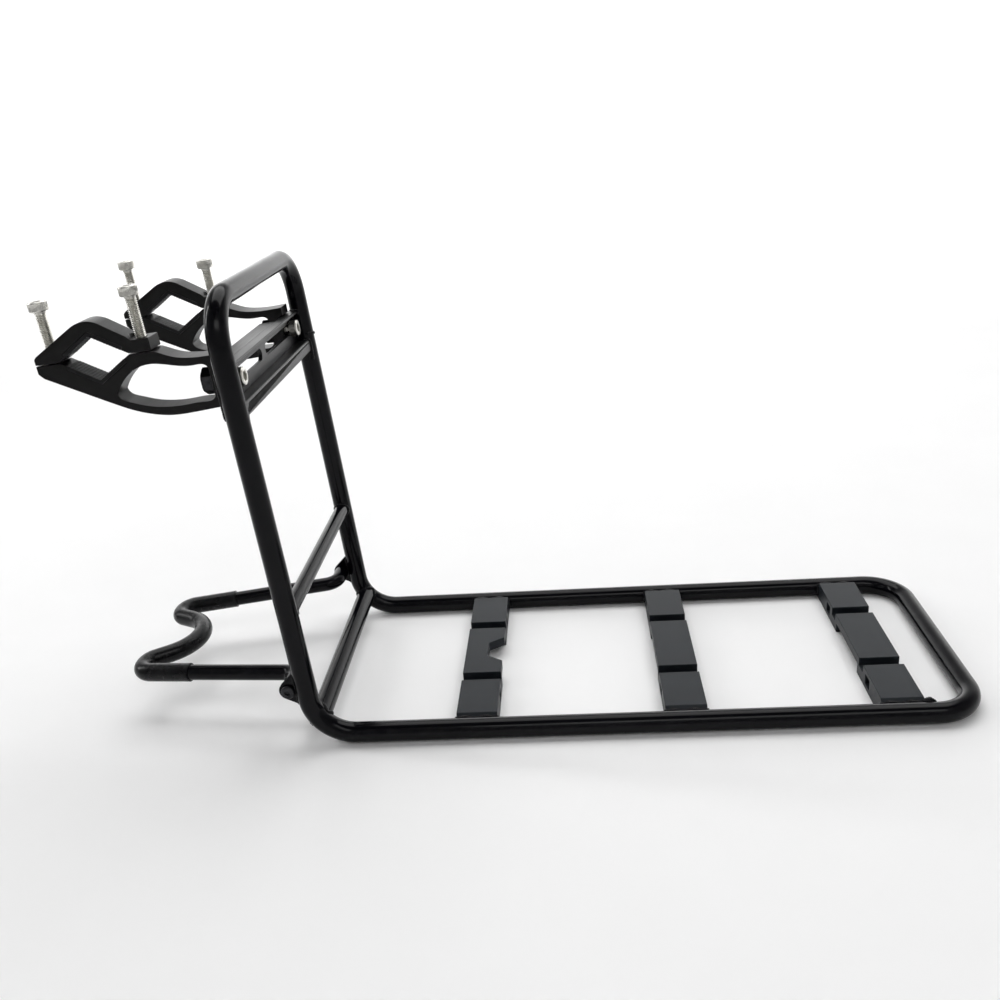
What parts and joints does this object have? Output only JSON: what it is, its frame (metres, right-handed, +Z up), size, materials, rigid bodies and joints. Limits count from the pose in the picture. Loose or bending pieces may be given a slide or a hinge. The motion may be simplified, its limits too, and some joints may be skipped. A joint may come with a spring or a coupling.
{
  "type": "handlebar luggage rack",
  "caption": "L-shaped luggage rack of bent black tube with a slatted deck, handlebar clamps on a slotted rail and a folding lower stay with a notched rubber end.",
  "frame": {"origin": "middle of the footprint's box, on the floor under the deck tubes", "axes": "+X forward along the deck, away from the uprights; +Y to the left; +Z up. Seen from behind the uprights, where the handlebar is, left is +Y."},
  "size_m": [0.5062, 0.169, 0.2682],
  "materials": {
    "frame_gloss": "gloss black enamel over bent and welded tube",
    "slat_satin": "satin slate-black powder coat",
    "rail_satin": "satin black anodised extrusion",
    "clamp_satin": "satin black anodised extrusion",
    "pad_rubber": "matte black rubber",
    "sleeve_rubber": "smooth black rubber with a soft sheen",
    "bolt_steel": "bright stainless steel",
    "nut_black": "black oxide"
  },
  "bodies": {
    "frame": {"main_loop_tube": "frame_gloss", "bottom_cross_tube": "frame_gloss", "middle_cross_tube": "frame_gloss", "clamp_rail": "rail_satin", "clamp_rail_box": "rail_satin", "rail_back_flange": "rail_satin", "deck_slat_rear": "slat_satin", "deck_slat_middle": "slat_satin", "deck_slat_front": "slat_satin", "stay_ear_left": "frame_gloss", "stay_ear_right": "frame_gloss", "pivot_bolt_left": "nut_black", "pivot_bolt_right": "nut_black"},
    "stay": {"stay_tube": "frame_gloss", "stay_sleeve": "sleeve_rubber"},
    "clamp_left": {"clamp_arm_left": "clamp_satin", "jaw_pad_left": "pad_rubber", "mount_bolt_left": "bolt_steel", "mount_nut_left": "nut_black"},
    "cap_left": {"clamp_cap_left": "clamp_satin", "cap_pad_left": "pad_rubber"},
    "bolt_left_rear": {"clamp_bolt_left_rear": "bolt_steel"},
    "bolt_left_front": {"clamp_bolt_left_front": "bolt_steel"},
    "clamp_right": {"clamp_arm_right": "clamp_satin", "jaw_pad_right": "pad_rubber", "mount_bolt_right": "bolt_steel", "mount_nut_right": "nut_black"},
    "cap_right": {"clamp_cap_right": "clamp_satin", "cap_pad_right": "pad_rubber"},
    "bolt_right_rear": {"clamp_bolt_right_rear": "bolt_steel"},
    "bolt_right_front": {"clamp_bolt_right_front": "bolt_steel"}
  },
  "joints": [
    {"name": "stay_fold", "type": "hinge", "parent": "frame", "child": "stay", "pos_m": [-0.1434, 0, 0.0358], "axis": [0, 1, 0], "range_deg": [-7, 89]},
    {"name": "clamp_left_slide", "type": "slide", "parent": "frame", "child": "clamp_left", "axis": [0, 1, 0], "range_m": [-0.0125, 0.0025]},
    {"name": "cap_left_lift", "type": "slide", "parent": "clamp_left", "child": "cap_left", "axis": [-0.0698, 0, 0.9976], "range_m": [0, 0.013]},
    {"name": "bolt_left_rear_screw", "type": "slide", "parent": "cap_left", "child": "bolt_left_rear", "axis": [-0.0698, 0, 0.9976], "range_m": [-0.0224, 0.006]},
    {"name": "bolt_left_front_screw", "type": "slide", "parent": "cap_left", "child": "bolt_left_front", "axis": [-0.0698, 0, 0.9976], "range_m": [-0.0166, 0.006]},
    {"name": "clamp_right_slide", "type": "slide", "parent": "frame", "child": "clamp_right", "axis": [0, -1, 0], "range_m": [-0.0065, 0.0085]},
    {"name": "cap_right_lift", "type": "slide", "parent": "clamp_right", "child": "cap_right", "axis": [-0.0698, 0, 0.9976], "range_m": [0, 0.013]},
    {"name": "bolt_right_rear_screw", "type": "slide", "parent": "cap_right", "child": "bolt_right_rear", "axis": [-0.0698, 0, 0.9976], "range_m": [-0.0198, 0.006]},
    {"name": "bolt_right_front_screw", "type": "slide", "parent": "cap_right", "child": "bolt_right_front", "axis": [-0.0698, 0, 0.9976], "range_m": [-0.0214, 0.006]}
  ]
}
